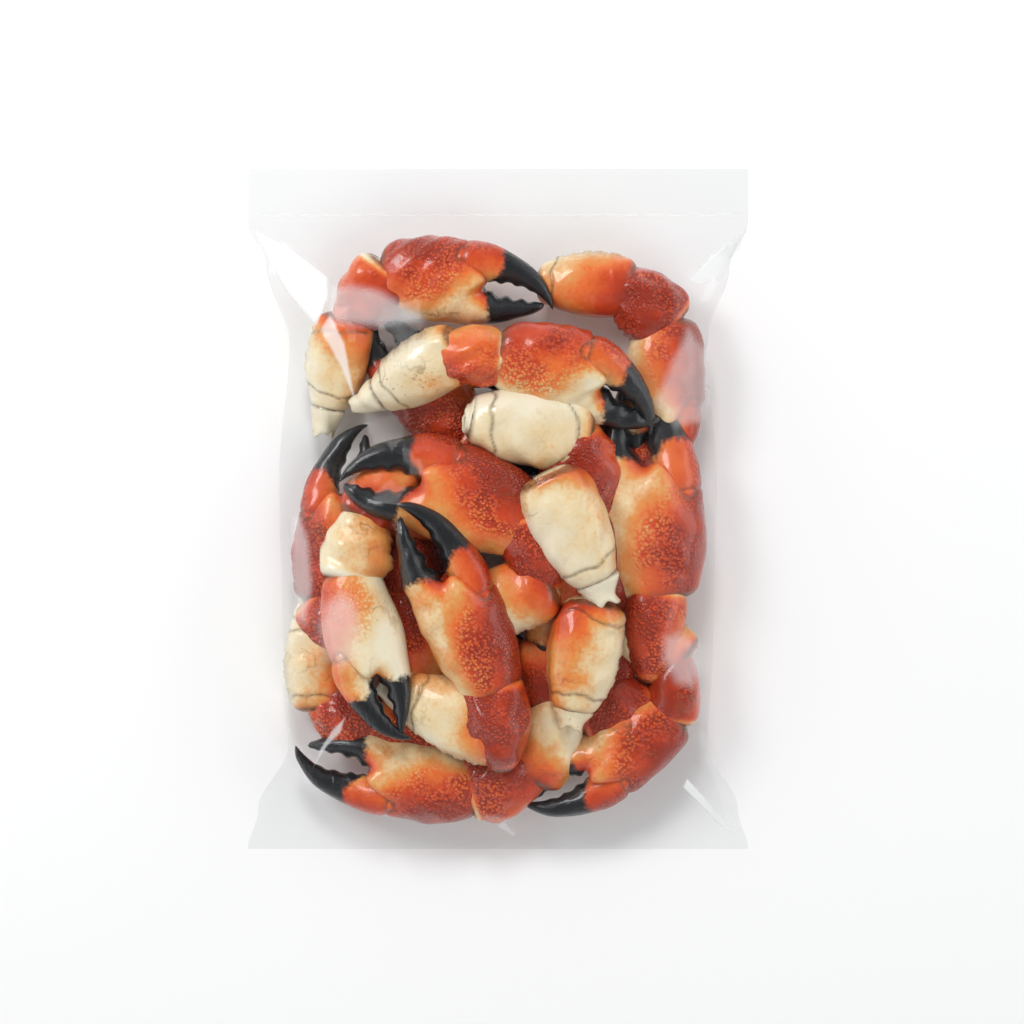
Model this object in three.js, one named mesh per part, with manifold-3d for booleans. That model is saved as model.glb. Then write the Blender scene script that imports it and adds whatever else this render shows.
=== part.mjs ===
// A clear plastic bag of cooked crab claws, lying on its back, filled and sealed.
//
// The bag is one closed solid: a pillow of film with a flat header seal at the +Y end and a narrow
// foot seal at the -Y end, and the claws that press up into the film standing out of the pillow at
// true size. Millimetres, +Z up, origin under the middle of the bag on the surface it lies on.
import * as THREE from "three";
import { mergeVertices } from "three/addons/utils/BufferGeometryUtils.js";
import Module from "manifold-3d";

const wasm = await Module();
wasm.setup();

const DEGREES = Math.PI / 180;

// ---- the bag --------------------------------------------------------------------------------
const BAG_WIDTH = 225;
const BAG_LENGTH = 306;
const SEAL_THICKNESS = 1.2;
const HEADER_LENGTH = 23;
const FOOT_LENGTH = 4;
// Half the bag's width, from the foot to the header: the filled body pulls the film in, and the
// seals keep it at its full width. `at` is a share of the length from the foot edge.
const HALF_WIDTHS = [
  { at: 0.0, half: BAG_WIDTH / 2 },
  { at: 0.06, half: 107.5 },
  { at: 0.153, half: 94 },
  { at: 0.3, half: 96.5 },
  { at: 0.55, half: 98 },
  { at: 0.741, half: 93.5 },
  { at: 0.86, half: 104 },
  { at: 0.92, half: BAG_WIDTH / 2 },
  { at: 1.0, half: BAG_WIDTH / 2 },
];
const SIDE_FOLD_HEIGHT = 7; // the two films meet this high along the filled body
const PILLOW_HEIGHT = 36; // the film between the claws, over the middle of the body
const PILLOW_EDGE_HEIGHT = 14; // the same just inside the side folds and the seals
const PILLOW_SHOULDER = 6; // how square the pillow is across: higher is squarer
const PILLOW_END_RISE = 0.07; // the share of the length over which the pillow rises from a seal
const ACROSS_STEPS = 22;
const ALONG_STEPS = 34;

// ---- one claw, for a hand 86 mm from wrist to finger tip ------------------------------------------
// Each shell is a row of oval sections. `x` runs from the wrist to the finger tips, `y` is the
// section's middle towards the moving finger, and `tall` and `thick` are its half sizes.
const HAND = [
  { x: -1.5, y: 0, tall: 8, thick: 6.5 },
  { x: 1, y: 0.5, tall: 14.5, thick: 10 },
  { x: 11, y: 0.9, tall: 18.3, thick: 12.6 },
  { x: 28, y: 0.7, tall: 21.2, thick: 13.6 },
  { x: 41.5, y: 0.1, tall: 20.9, thick: 12.3 },
  { x: 48, y: -7.1, tall: 13.1, thick: 10.8 },
  { x: 56, y: -11.8, tall: 7.4, thick: 8.8 },
  { x: 69, y: -11.4, tall: 4.8, thick: 6.3 },
  { x: 79, y: -9.3, tall: 2.9, thick: 3.8 },
  { x: 84.8, y: -7.6, tall: 0.8, thick: 0.8 },
];
const MOVING_FINGER = [
  { x: 39, y: 11, tall: 8, thick: 8 },
  { x: 48, y: 11.4, tall: 9.9, thick: 9.4 },
  { x: 60, y: 10.6, tall: 8.4, thick: 7.3 },
  { x: 72, y: 6.2, tall: 6.4, thick: 5.4 },
  { x: 82, y: 0, tall: 5, thick: 3.7 },
  { x: 88.5, y: -9.4, tall: 0.8, thick: 0.8 },
];
const FINGER_HINGE = { x: 43, y: 11 };
const WRIST = [
  { x: -4.5, y: 0.3, tall: 9, thick: 7 },
  { x: -1, y: 0.6, tall: 16.4, thick: 11.4 },
  { x: 10, y: 0.9, tall: 17.9, thick: 13.6 },
  { x: 23, y: 0.6, tall: 14, thick: 12.4 },
  { x: 32, y: 0, tall: 7.9, thick: 8.6 },
  { x: 35, y: 0, tall: 3, thick: 3 },
];
const WRIST_LENGTH = 29; // from the wrist's joint with the hand to its joint with the arm
const ARM = [
  { x: -4.4, y: 0, tall: 9, thick: 8 },
  { x: 0, y: 0, tall: 14.2, thick: 11 },
  { x: 13, y: -0.4, tall: 16.2, thick: 12.6 },
  { x: 26, y: -0.5, tall: 15.4, thick: 12.3 },
  { x: 38, y: 0, tall: 11.8, thick: 10.8 },
  { x: 45, y: 0, tall: 7.2, thick: 7 },
];
const STUB_START = 42; // where the arm's broken end piece begins
const ARM_STUB = [
  { x: STUB_START, y: 0, tall: 7, thick: 7 },
  { x: 46, y: 0, tall: 9.3, thick: 8.2 },
  { x: 58, y: 0, tall: 5.2, thick: 5.2 },
];
const HAND_SIDES = 9;
const FINGER_SIDES = 7;
const ARM_SIDES = 8;

// ---- where the claws lie --------------------------------------------------------------------------
// x, y, z: the wrist. heading: which way the hand points, from +X towards +Y. pitch: how far the
// fingers point up. roll: 0 shows the outer face, 180 the inner. side: 1 has the moving finger on
// the left of the heading, -1 on the right. size: of the 86 mm hand. gape: how far the moving
// finger is opened. wrist and arm: [how far it folds back towards the fixed finger, how far it
// lifts], from straight behind the hand. plump and wristPlump: how broad the hand and the wrist
// are. reach: how far along the wrist the arm joins it. stub: the length of the arm's broken end,
// 0 for none. A claw with no arm was broken off behind its wrist. All angles in degrees.
const CLAWS = [
  { name: "top_left", x: -51, y: 104, z: 23, heading: -6, pitch: 5, roll: 8, size: 0.86, plump: 1.04,
    gape: 2, wrist: [58, 0], reach: 32, arm: [84, 0], stub: 1 },
  { name: "top_right", x: 75, y: 84, z: 21, heading: -94, pitch: -3, roll: -4, size: 0.88,
    wrist: [54, 0], reach: 26, arm: [92, -9] },
  { name: "under_middle", x: 39, y: 2, z: 24, heading: -95, pitch: -4, size: 1.1,
    wrist: [10, 10], arm: [87, 6], stub: 0.3 },
  { name: "left", x: -78, y: -41, z: 18, heading: 80, roll: -8, size: 0.9, plump: 0.9, gape: 3,
    wrist: [50, 0] },
  { name: "right", x: 71, y: -39, z: 24, heading: 95, roll: 6, side: -1, size: 1.1, gape: 2,
    wrist: [10, -7], wristPlump: 0.7 },
  { name: "front_left", x: -65, y: -28, z: 36, heading: -77, pitch: 3, roll: 180, size: 0.88,
    plump: 0.85, gape: -2, wrist: [26, 4], arm: [52, 8], stub: 0.8 },
  { name: "centre", x: 13, y: -7, z: 36, heading: 157, pitch: 2, roll: 5, side: -1, size: 0.96,
    plump: 1.12, gape: -4, wrist: [50, -6], wristPlump: 0.8, arm: [138, -12], stub: 0.8 },
  { name: "upper_middle", x: 0, y: 67, z: 40, heading: -13, pitch: -3, roll: 20, size: 0.9, plump: 1.06,
    gape: -14, wrist: [10, -6], wristPlump: 0.8, reach: 21, arm: [46, -8], stub: 1 },
  { name: "front", x: -1.5, y: -80, z: 38, heading: 114, pitch: 7, roll: 4, side: -1, size: 1.03,
    plump: 0.88, gape: 5, wrist: [16, -4], wristPlump: 0.85, reach: 19, arm: [137, -16], stub: 0.8 },
  { name: "foot_left", x: -9, y: -125, z: 17, heading: 170, roll: -6, size: 0.92, plump: 0.95, gape: 6,
    wrist: [25, 0], arm: [80, -4] },
  { name: "foot_right", x: 78, y: -91, z: 20, heading: 216, pitch: -1, size: 0.87, plump: 0.95, gape: 1,
    wrist: [47, 2], wristPlump: 0.75, arm: [114, -7], stub: 0.8 },
  { name: "low_left", x: -59, y: -100, z: 13, heading: 4, side: -1, size: 0.86,
    wrist: [40, 2], arm: [88, 2], stub: 0.8 },
];
// Arms without a hand. x, y, z is the end where the wrist was.
const LOOSE_ARMS = [
  { name: "pale", x: 24, y: 11, z: 45, heading: -65, pitch: -4, roll: 16, size: 1.06, stub: 0.8 },
  { name: "ragged", x: 41, y: -45, z: 36, heading: -101, roll: -10, side: -1, stub: 0.65 },
];
const AS_IT_LIES = {
  pitch: 0, roll: 0, side: 1, size: 1, plump: 1, gape: 0, wristPlump: 1, reach: WRIST_LENGTH, stub: 0,
};

// Reads a value off a list of named stops, eased between its neighbours.
function along(stops, key, position, value) {
  const last = stops.length - 1;
  let i = stops.findIndex((stop) => position < stop[key]);
  i = i < 0 ? last : Math.max(i, 1);
  const from = stops[i - 1];
  const to = stops[i];
  const share = THREE.MathUtils.clamp((position - from[key]) / (to[key] - from[key]), 0, 1);
  return THREE.MathUtils.lerp(from[value], to[value], share * share * (3 - 2 * share));
}

// A closed three.js geometry as a solid for joining.
function solidOf(geometry, matrix = new THREE.Matrix4()) {
  geometry.deleteAttribute("normal");
  geometry.deleteAttribute("uv");
  geometry.clearGroups();
  const merged = mergeVertices(geometry, 1e-4);
  merged.applyMatrix4(matrix);
  const triVerts = new Uint32Array(merged.index.array);
  if (matrix.determinant() < 0) {
    for (let i = 0; i < triVerts.length; i += 3) {
      [triVerts[i], triVerts[i + 1]] = [triVerts[i + 1], triVerts[i]];
    }
  }
  const vertProperties = new Float32Array(merged.attributes.position.array);
  return new wasm.Manifold(new wasm.Mesh({ numProp: 3, vertProperties, triVerts }));
}

// A shell of oval sections: a closed cylinder whose rings are moved to the stations.
function shell(stations, sides) {
  const rings = stations.length - 1;
  const geometry = new THREE.CylinderGeometry(1, 1, rings, sides, rings);
  const points = geometry.attributes.position;
  for (let i = 0; i < points.count; i += 1) {
    const station = stations[Math.round(points.getY(i) + rings / 2)];
    points.setXYZ(
      i,
      station.x,
      station.y - points.getX(i) * station.tall,
      points.getZ(i) * station.thick,
    );
  }
  return geometry;
}

function placed(claw) {
  const turn = new THREE.Matrix4().makeRotationZ(claw.heading * DEGREES);
  turn.multiply(new THREE.Matrix4().makeRotationY(-claw.pitch * DEGREES));
  turn.multiply(new THREE.Matrix4().makeRotationX(claw.roll * DEGREES));
  turn.scale(new THREE.Vector3(claw.size, claw.size * claw.side, claw.size));
  return turn.setPosition(claw.x, claw.y, claw.z);
}

// A frame at `start` whose +X points behind the hand, folded towards the fixed finger and lifted.
function foldedBack(start, [fold, lift]) {
  const turn = new THREE.Matrix4().makeTranslation(start);
  turn.multiply(new THREE.Matrix4().makeRotationZ((180 + fold) * DEGREES));
  turn.multiply(new THREE.Matrix4().makeRotationY(-lift * DEGREES));
  return turn;
}

// An arm and its broken end, in a frame whose origin is the elbow.
function armSolids(frame, stub) {
  const solids = [solidOf(shell(ARM, ARM_SIDES), frame)];
  if (stub > 0) {
    const shorten = new THREE.Matrix4().makeTranslation(STUB_START, 0, 0);
    shorten.multiply(new THREE.Matrix4().makeScale(stub, 1, 1));
    shorten.multiply(new THREE.Matrix4().makeTranslation(-STUB_START, 0, 0));
    solids.push(solidOf(shell(ARM_STUB, ARM_SIDES), frame.clone().multiply(shorten)));
  }
  return solids;
}

function clawSolids(posed) {
  const claw = { ...AS_IT_LIES, ...posed };
  const place = placed(claw);
  const broad = place.clone().scale(new THREE.Vector3(1, claw.plump, 1));
  const opened = new THREE.Matrix4().makeTranslation(FINGER_HINGE.x, FINGER_HINGE.y, 0);
  opened.multiply(new THREE.Matrix4().makeRotationZ(claw.gape * DEGREES));
  opened.multiply(new THREE.Matrix4().makeTranslation(-FINGER_HINGE.x, -FINGER_HINGE.y, 0));
  const wrist = foldedBack(new THREE.Vector3(0, 0, 0), claw.wrist);
  const elbow = new THREE.Vector3(claw.reach, 0, 0).applyMatrix4(wrist);
  const wristPlace = place.clone().multiply(wrist).scale(new THREE.Vector3(1, claw.wristPlump, 1));
  const solids = [
    solidOf(shell(HAND, HAND_SIDES), broad),
    solidOf(shell(MOVING_FINGER, FINGER_SIDES), broad.clone().multiply(opened)),
    solidOf(shell(WRIST, ARM_SIDES), wristPlace),
  ];
  if (claw.arm) {
    solids.push(...armSolids(place.clone().multiply(foldedBack(elbow, claw.arm)), claw.stub));
  }
  return solids;
}

function looseArmSolids(posed) {
  const arm = { ...AS_IT_LIES, ...posed };
  return armSolids(placed(arm), arm.stub);
}

// 0 at a seal and 1 over the filled body.
function bodyShare(y) {
  const rise = BAG_LENGTH * PILLOW_END_RISE;
  const fromFoot = (y + BAG_LENGTH / 2 - FOOT_LENGTH) / rise;
  const fromHeader = (BAG_LENGTH / 2 - HEADER_LENGTH - y) / rise;
  const share = THREE.MathUtils.clamp(Math.min(fromFoot, fromHeader), 0, 1);
  return Math.sin((share * Math.PI) / 2);
}

// The pillow of film: a thin box whose faces are blown apart over the body.
function pillow() {
  const geometry = new THREE.BoxGeometry(2, 2, 1, ACROSS_STEPS, ALONG_STEPS, 1);
  const points = geometry.attributes.position;
  for (let i = 0; i < points.count; i += 1) {
    const across = Math.sin((points.getX(i) * Math.PI) / 2);
    const length = (points.getY(i) + 1) / 2;
    const y = (length - 0.5) * BAG_LENGTH;
    const body = bodyShare(y);
    const crown = Math.pow(1 - Math.pow(Math.abs(across), PILLOW_SHOULDER), 0.5);
    const fold = SIDE_FOLD_HEIGHT * body;
    const dome = Math.cos((across * Math.PI) / 2) * Math.cos((length - 0.47) * Math.PI);
    const height = THREE.MathUtils.lerp(PILLOW_EDGE_HEIGHT, PILLOW_HEIGHT, dome);
    const top = fold + SEAL_THICKNESS + (height - SIDE_FOLD_HEIGHT) * body * crown;
    const bottom = fold * (1 - Math.min(1, crown * 1.6));
    const side = points.getZ(i) > 0 ? top : bottom;
    points.setXYZ(i, across * along(HALF_WIDTHS, "at", length, "half"), y, side);
  }
  return solidOf(geometry);
}

function bagOfClaws() {
  const solids = [pillow(), ...CLAWS.flatMap(clawSolids), ...LOOSE_ARMS.flatMap(looseArmSolids)];
  const joined = solids.reduce((whole, next) => whole.add(next));
  // Joining leaves small sealed hollows between claws; the outer shell alone fills them.
  const shells = joined.decompose();
  return shells.reduce((outer, next) => (next.volume() > outer.volume() ? next : outer));
}

function meshOf(name, solid, material) {
  const { vertProperties, triVerts } = solid.getMesh();
  const geometry = new THREE.BufferGeometry();
  geometry.setAttribute("position", new THREE.BufferAttribute(vertProperties, 3));
  geometry.setIndex(new THREE.BufferAttribute(triVerts, 1));
  const mesh = new THREE.Mesh(geometry, material);
  mesh.name = name;
  return mesh;
}

const filledBag = new THREE.MeshStandardMaterial({ color: 0xc98260, roughness: 0.3, metalness: 0 });

const object = new THREE.Group();
object.add(meshOf("bag_of_claws", bagOfClaws(), filledBag));

export default object;
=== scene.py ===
# %% [markdown]
# # A bag of cooked crab claws
#
# The real thing is a clear plastic bag, about 9 by 12 inches, filled with cooked whole claws and
# laid on its back. Everything we see is one of two things: a crab shell, hard, wet and glossy, or
# the film, which is almost nothing but reflections. So the lesson has three parts: model one
# claw well from a handful of closed shells, pose it again and again until the heap matches, then
# drape a film over the heap.

# %% Load the frame
import math

import bmesh
import bpy
import numpy as np
from mathutils import Matrix, Vector
from mathutils.bvhtree import BVHTree


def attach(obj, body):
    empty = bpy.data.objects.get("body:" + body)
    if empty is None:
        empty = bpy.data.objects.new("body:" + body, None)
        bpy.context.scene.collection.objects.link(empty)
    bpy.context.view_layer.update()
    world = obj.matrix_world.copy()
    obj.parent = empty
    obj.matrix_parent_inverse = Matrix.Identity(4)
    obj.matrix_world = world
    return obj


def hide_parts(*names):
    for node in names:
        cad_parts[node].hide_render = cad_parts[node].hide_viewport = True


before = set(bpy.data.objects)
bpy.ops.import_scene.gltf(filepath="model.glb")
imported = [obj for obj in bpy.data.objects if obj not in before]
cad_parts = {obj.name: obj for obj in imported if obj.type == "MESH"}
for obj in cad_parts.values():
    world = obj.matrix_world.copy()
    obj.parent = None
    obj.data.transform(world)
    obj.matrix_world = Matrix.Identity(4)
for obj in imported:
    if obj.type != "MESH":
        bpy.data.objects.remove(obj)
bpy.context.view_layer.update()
MM = 0.001

# %% [markdown]
# ## The camera and the floor
#
# The photograph looks straight down on the bag from far away, so the camera hangs above it with a
# long lens. The bag lies on a white surface without an edge. A plane much wider than the picture
# does for that, a hair below the bag so that the two sheets never fight for the same place.

# %% Camera
FRAME_WIDTH = 0.4608
FRAME_CENTRE = (0.0063, -0.0014)
CAMERA_HEIGHT = 1.7
SENSOR = 36.0

camera_data = bpy.data.cameras.new("above")
camera_data.sensor_width = SENSOR
camera_data.lens = SENSOR * CAMERA_HEIGHT / FRAME_WIDTH
camera = bpy.data.objects.new("above", camera_data)
camera.location = (*FRAME_CENTRE, CAMERA_HEIGHT)
bpy.context.scene.collection.objects.link(camera)
bpy.context.scene.camera = camera
print("camera", round(camera_data.lens, 1), "mm lens,", CAMERA_HEIGHT, "m up")

# %% Floor
FLOOR_SIZE = 6.0
FLOOR_DROP = 0.0004
FLOOR_COLOUR = (0.9, 0.9, 0.9)
FLOOR_ROUGHNESS = 0.9


def plain_material(name, colour, roughness):
    material = bpy.data.materials.new(name)
    material.use_nodes = True
    shader = material.node_tree.nodes["Principled BSDF"]
    shader.inputs["Base Color"].default_value = (*colour, 1)
    shader.inputs["Roughness"].default_value = roughness
    return material


bm = bmesh.new()
bmesh.ops.create_grid(bm, x_segments=1, y_segments=1, size=FLOOR_SIZE / 2)
floor_mesh = bpy.data.meshes.new("floor")
bm.to_mesh(floor_mesh)
bm.free()
floor = bpy.data.objects.new("floor", floor_mesh)
floor.location.z = -FLOOR_DROP
floor_mesh.materials.append(plain_material("pale_floor", FLOOR_COLOUR, FLOOR_ROUGHNESS))
bpy.context.scene.collection.objects.link(floor)
print("floor", FLOOR_SIZE, "m wide")

# %% [markdown]
# ## The lights
#
# A film shows only by what it mirrors, so each light is judged twice: by what it lights, and by
# what it looks like in the film. Where the film lies flat it mirrors the sky beside the camera, so
# that part of the sky is dim and the claws stay clear. The film's flanks mirror what stands to the
# sides, so the sky is bright low down and soft walls of light stand left and right. The main and
# the fill lamp light the claws but are hidden from mirrors. Of the three lamps overhead, only the
# key is left to flash in the film.

# %% Lamps
# Each lamp: where it stands, what it faces, its width and height, its watts, and whether glossy
# things mirror it.
LAMPS = {
    "key": ((-0.75, 0.6, 0.95), (0, 0, 0.02), (0.45, 0.45), 6.2, True),
    "main": ((-0.12, 1.0, 1.15), (0, 0, 0.02), (0.4, 0.4), 8.6, False),
    "fill": ((0.5, -0.9, 1.5), (0.1, -0.1, 0.02), (1.0, 1.0), 7.2, False),
    "left_wall": ((-1.0, -0.2, 0.4), (0, 0, 0.03), (1.2, 0.4), 1.4, True),
    "right_wall": ((1.0, 0.1, 0.55), (0, 0, 0.03), (1.2, 0.5), 2.4, True),
}


def soft_light(name, place, target, size, watts, mirrored):
    light = bpy.data.lights.new(name, "AREA")
    light.shape = "RECTANGLE"
    light.size, light.size_y = size
    light.energy = watts
    lamp = bpy.data.objects.new(name, light)
    lamp.location = place
    lamp.rotation_euler = (Vector(target) - Vector(place)).to_track_quat("-Z", "Y").to_euler()
    lamp.visible_glossy = mirrored
    bpy.context.scene.collection.objects.link(lamp)


for name, row in LAMPS.items():
    soft_light(name, *row)
print(len(LAMPS), "lamps,", round(sum(row[3] for row in LAMPS.values()), 1), "watts in all")

# %% Sky
# The sky's strength goes from To Min to To Max as a direction's upward part goes from From Min to
# From Max.
SKY_FADE = {"From Min": 0.3, "From Max": 0.95, "To Min": 0.62, "To Max": 0.2}
SKY_COLOUR = (0.97, 0.985, 1, 1)
FILM_CROSSINGS = 24

world = bpy.data.worlds.new("studio")
world.use_nodes = True
sky = world.node_tree
direction = sky.nodes.new("ShaderNodeTexCoord")
upward = sky.nodes.new("ShaderNodeSeparateXYZ")
fade = sky.nodes.new("ShaderNodeMapRange")
for socket, value in SKY_FADE.items():
    fade.inputs[socket].default_value = value
sky.links.new(direction.outputs["Generated"], upward.inputs[0])
sky.links.new(upward.outputs["Z"], fade.inputs["Value"])
sky.links.new(fade.outputs[0], sky.nodes["Background"].inputs["Strength"])
sky.nodes["Background"].inputs["Color"].default_value = SKY_COLOUR
bpy.context.scene.world = world
bpy.context.scene.view_settings.view_transform = "Standard"
bpy.context.scene.cycles.transparent_max_bounces = FILM_CROSSINGS
print("sky strength", SKY_FADE["To Min"], "low down and", SKY_FADE["To Max"], "overhead")

# %% [markdown]
# ## A shell
#
# A crab is built from closed shells joined end to end. Each could be sculpted, or boxed out and
# subdivided. Here each one is a sphere from the sphere operator whose rings are moved onto a row
# of stations. A station is a place along the shell, its low and high edge there, and half its
# thickness. That keeps the poles closed and the faces even, and one short table per shell is all
# that has to be measured. The outer face of a claw bulges and the inner face is flatter, so the two
# halves of a section have different depths. A few soft dents, drawn anew for each claw, keep any
# two claws from looking cast in one mould.
#
# All tables are in millimetres, for a hand 87 mm long. x runs along a shell, y from its low edge
# to its high edge, and z through its thickness.

# %% Sphere templates


def sphere_template(sides, rings):
    """A sphere's mesh, and for each vertex how far it is from the start pole and its angle."""
    bm = bmesh.new()
    bmesh.ops.create_uvsphere(bm, u_segments=sides, v_segments=rings, radius=1)
    mesh = bpy.data.meshes.new(f"sphere_{sides}_{rings}")
    bm.to_mesh(mesh)
    bm.free()
    points = np.zeros(len(mesh.vertices) * 3)
    mesh.vertices.foreach_get("co", points)
    x, y, z = points.reshape(-1, 3).T
    return {
        "mesh": mesh,
        "t": 1 - np.arccos(np.clip(z, -1, 1)) / math.pi,
        "angle": np.arctan2(y, x),
    }


hand_sphere = sphere_template(64, 104)
finger_sphere = sphere_template(36, 72)
wrist_sphere = sphere_template(56, 48)
arm_sphere = sphere_template(52, 88)
stub_sphere = sphere_template(32, 44)
membrane_sphere = sphere_template(24, 16)
print("the finest sphere has", len(hand_sphere["mesh"].vertices), "vertices")

# %% Curves and fades


def curve_through(stations, t):
    """The stations' values at places t from 0 to 1 along them, on smooth curves."""
    knots = np.array(stations, float)
    steps = np.linalg.norm(np.diff(knots[:, :3], axis=0), axis=1)
    length = np.concatenate([[0], np.cumsum(steps)])
    slopes = np.gradient(knots, length, axis=0)
    s = t * length[-1]
    i = np.clip(np.searchsorted(length, s, side="right") - 1, 0, len(knots) - 2)
    h = (length[i + 1] - length[i])[:, None]
    f = ((s - length[i])[:, None]) / h
    return (
        (2 * f**3 - 3 * f**2 + 1) * knots[i]
        + (f**3 - 2 * f**2 + f) * h * slopes[i]
        + (3 * f**2 - 2 * f**3) * knots[i + 1]
        + (f**3 - f**2) * h * slopes[i + 1]
    )


def smoothstep(low, high, value):
    """Rises softly from 0 at low to 1 at high, or falls where low is the larger."""
    share = np.clip((value - low) / (high - low), 0, 1)
    return share * share * (3 - 2 * share)


def near(value, centre, spread):
    """1 at the centre and falling away on both sides: the larger the spread, the slower."""
    return np.exp(-((value - centre) ** 2) / spread)


def boxed(value, boxiness):
    """Squares a section off as boxiness drops below 1."""
    return np.sign(value) * np.abs(value) ** boxiness


print("halfway up a soft step is", float(smoothstep(0, 1, 0.5)))

# %% A shell from its stations
OUTER_BULGE = 1.06
INNER_BULGE = 0.9
DENT_WAVES = 5
# A wave is at least this long along each axis, in millimetres, drawn between the two.
DENT_STRIDES = (9, 20)
POLE_FADE = 0.06


def dent_wave(x, y, z, chance):
    """A few long waves that cross in random directions."""
    wave = np.zeros_like(x)
    for _ in range(DENT_WAVES):
        stride = chance.uniform(-1, 1, 3) * 2 * math.pi / chance.uniform(*DENT_STRIDES)
        wave += np.sin(stride[0] * x + stride[1] * y + stride[2] * z + chance.uniform(0, 7))
    return wave


def shell(template, stations, chance, boxiness=1.0, dents=0.35):
    """A shell's points: s is how far along a point starts, up and out are its place on the section."""
    t = template["t"]
    x, low, high, thick = curve_through(stations, t).T
    up, out = np.cos(template["angle"]), np.sin(template["angle"])
    bulge = np.where(out > 0, OUTER_BULGE, INNER_BULGE)
    y = (low + high) / 2 + boxed(up, boxiness) * np.maximum(high - low, 0) / 2
    z = boxed(out, boxiness) * np.maximum(thick, 0) * bulge
    wave = dent_wave(x, y, z, chance)
    wave *= dents * smoothstep(0, POLE_FADE, t) * smoothstep(0, POLE_FADE, 1 - t)
    return {
        "mesh": template["mesh"],
        "x": x,
        "y": y + up * wave,
        "z": z + out * wave,
        "up": up,
        "out": out,
        "s": x.copy(),
    }


print(DENT_WAVES, "dent waves cross on each shell")

# %% [markdown]
# ## Teeth and tones
#
# Shape that is too small for a station is pushed out along a formula, such as the blunt teeth on
# both fingers' biting edges. Each vertex also gets four tones, which the shell material reads
# later: how ruddy it is, how black, how much grime its seam has gathered, and how grainy it is. A
# painted texture could do the same, but tones that come from the formulas stay right when a
# station moves.

# %% Teeth and tones
TOOTH_STEEPNESS = 1.6
BLACK_FADE = 7
NOT_BLACK = -2.0


def teeth(p, biting, places):
    """Pushes blunt teeth out of the biting edge: biting is 1 for a high edge and -1 for a low one."""
    facing = np.clip(p["up"] * biting, 0, 1) ** 3
    for place, half_width, height in places:
        tooth = near(p["s"], place, half_width**2 / TOOTH_STEEPNESS)
        p["y"] += biting * height * facing * tooth


def with_tones(p, ruddy, black=NOT_BLACK, seam=0.0, grain=0.0):
    zero = np.zeros_like(p["x"])
    tones = [
        np.clip(ruddy + zero, 0, 1),
        black + zero,
        np.clip(seam + zero, 0, 1),
        np.clip(grain + zero, 0, 1),
    ]
    p["tones"] = np.stack(tones, axis=1)
    return p


print("the black of a finger tip comes in over", BLACK_FADE, "mm")

# %% [markdown]
# ## The hand
#
# The hand is the claw's big palm, and its lower corner runs on as the fixed finger. One table does
# for both, because the high edge simply falls away steeply where the moving finger is hinged. Three
# small forms at the hinge come from formulas: a rounded lobe on each cheek that reaches over the
# hinge, a notch above it, and a round knuckle with a moat round it that holds grime. The hand is
# ruddy on top and pales towards the fixed finger.

# %% Hand
HAND = [
    (-1.8, -3, 3, 2.5), (-1.2, -10.5, 11, 8), (1, -14, 15, 10), (5, -15.8, 17.4, 11.4),
    (11, -17.4, 19.2, 12.6), (20, -19.4, 21.2, 13.4), (30, -20.6, 22, 13.6), (37, -20.9, 21.8, 13),
    (41.5, -20.8, 21, 12.3), (44, -20.6, 18.5, 11.8), (46, -20.4, 13, 11.2), (48.2, -20.2, 6, 10.6),
    (51, -19.9, 0.5, 9.8), (56, -19.2, -4.4, 8.8), (62, -18.0, -6.2, 7.6), (69, -16.2, -6.6, 6.3),
    (76, -13.6, -6.5, 4.8), (81, -10.8, -6.2, 3.2), (84, -8.9, -6.4, 1.6), (84.8, -8.0, -7.0, 0.4),
]
# Each tooth: its place, half its width, and its height.
FIXED_TEETH = [(57, 3.0, 2.6), (65, 3.4, 2.4), (73, 2.8, 1.5), (79, 2.2, 0.8)]
FIXED_BLACK_FROM = 57.0
LOBE_HEIGHT, LOBE_HALF = 3.5, 5.5
LOBE_REACH = 6.5
NOTCH_HEIGHT, NOTCH_HALF = 13.5, 3.5
NOTCH_DEPTH = 2.5
KNUCKLE = (41.5, 15.0)
KNUCKLE_RADIUS = 2.4
KNUCKLE_RISE = 1.5
MOAT_DEPTH, MOAT_HALF = 0.5, 0.8


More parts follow.
